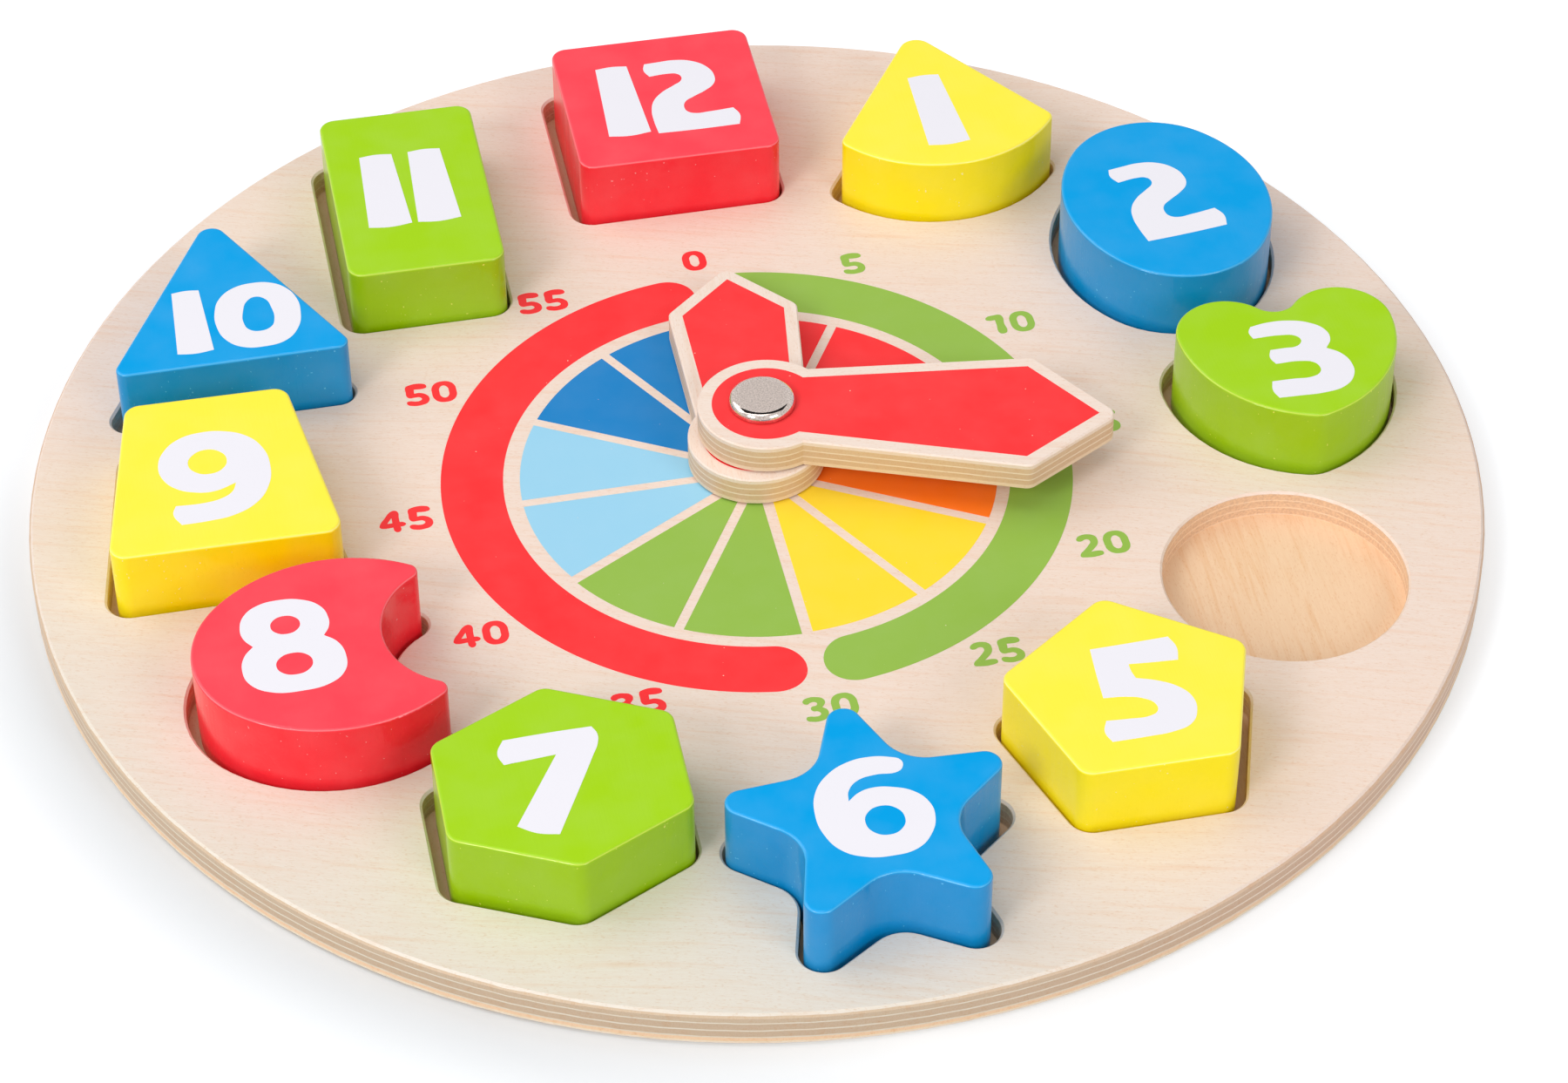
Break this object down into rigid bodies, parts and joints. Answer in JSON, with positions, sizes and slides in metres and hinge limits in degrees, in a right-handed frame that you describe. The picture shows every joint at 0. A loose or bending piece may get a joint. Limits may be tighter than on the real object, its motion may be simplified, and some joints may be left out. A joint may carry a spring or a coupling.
{
  "type": "shape-sorting teaching clock",
  "caption": "Round plywood teaching clock that lies flat, with hands that turn on a rivet and loose painted number blocks that stand in shaped recesses.",
  "frame": {"origin": "centre of the underside of the backing board", "axes": "+Z out of the face, +Y towards twelve o'clock, +X towards three o'clock"},
  "size_m": [0.3, 0.3, 0.0242],
  "materials": {
    "face_plywood": "clear matt lacquer, printed dial",
    "back_plywood": "bare, sanded",
    "hand_plywood": "clear matt lacquer, printed red inset",
    "polished_steel": "polished",
    "zinc_plated_steel": "dull zinc plating",
    "red_paint": "satin water-based paint",
    "yellow_paint": "satin water-based paint",
    "blue_paint": "satin water-based paint",
    "green_paint": "satin water-based paint"
  },
  "bodies": {
    "board": {"face_board": "face_plywood", "back_board": "back_plywood", "hand_rivet": "polished_steel", "rivet_washer": "zinc_plated_steel"},
    "hour_hand": {"hour_hand": "hand_plywood"},
    "minute_hand": {"minute_hand": "hand_plywood"},
    "block_1": {"block_1": "yellow_paint"},
    "block_2": {"block_2": "blue_paint"},
    "block_3": {"block_3": "green_paint"},
    "block_5": {"block_5": "yellow_paint"},
    "block_6": {"block_6": "blue_paint"},
    "block_7": {"block_7": "green_paint"},
    "block_8": {"block_8": "red_paint"},
    "block_9": {"block_9": "yellow_paint"},
    "block_10": {"block_10": "blue_paint"},
    "block_11": {"block_11": "green_paint"},
    "block_12": {"block_12": "red_paint"}
  },
  "joints": [
    {"name": "hour_hand_turn", "type": "hinge", "parent": "board", "child": "hour_hand", "pos_m": [0.0022, 0.0051, 0.0118], "axis": [0, 0, 1], "continuous": true},
    {"name": "minute_hand_turn", "type": "hinge", "parent": "board", "child": "minute_hand", "pos_m": [0.0022, 0.0051, 0.01865], "axis": [0, 0, 1], "continuous": true},
    {"name": "block_1_lift", "type": "slide", "parent": "board", "child": "block_1", "axis": [0, 0, 1], "range_m": [0, 0.025]},
    {"name": "block_2_lift", "type": "slide", "parent": "board", "child": "block_2", "axis": [0, 0, 1], "range_m": [0, 0.025]},
    {"name": "block_3_lift", "type": "slide", "parent": "board", "child": "block_3", "axis": [0, 0, 1], "range_m": [0, 0.025]},
    {"name": "block_5_lift", "type": "slide", "parent": "board", "child": "block_5", "axis": [0, 0, 1], "range_m": [0, 0.025]},
    {"name": "block_6_lift", "type": "slide", "parent": "board", "child": "block_6", "axis": [0, 0, 1], "range_m": [0, 0.025]},
    {"name": "block_7_lift", "type": "slide", "parent": "board", "child": "block_7", "axis": [0, 0, 1], "range_m": [0, 0.025]},
    {"name": "block_8_lift", "type": "slide", "parent": "board", "child": "block_8", "axis": [0, 0, 1], "range_m": [0, 0.025]},
    {"name": "block_9_lift", "type": "slide", "parent": "board", "child": "block_9", "axis": [0, 0, 1], "range_m": [0, 0.025]},
    {"name": "block_10_lift", "type": "slide", "parent": "board", "child": "block_10", "axis": [0, 0, 1], "range_m": [0, 0.025]},
    {"name": "block_11_lift", "type": "slide", "parent": "board", "child": "block_11", "axis": [0, 0, 1], "range_m": [0, 0.025]},
    {"name": "block_12_lift", "type": "slide", "parent": "board", "child": "block_12", "axis": [0, 0, 1], "range_m": [0, 0.025]}
  ]
}
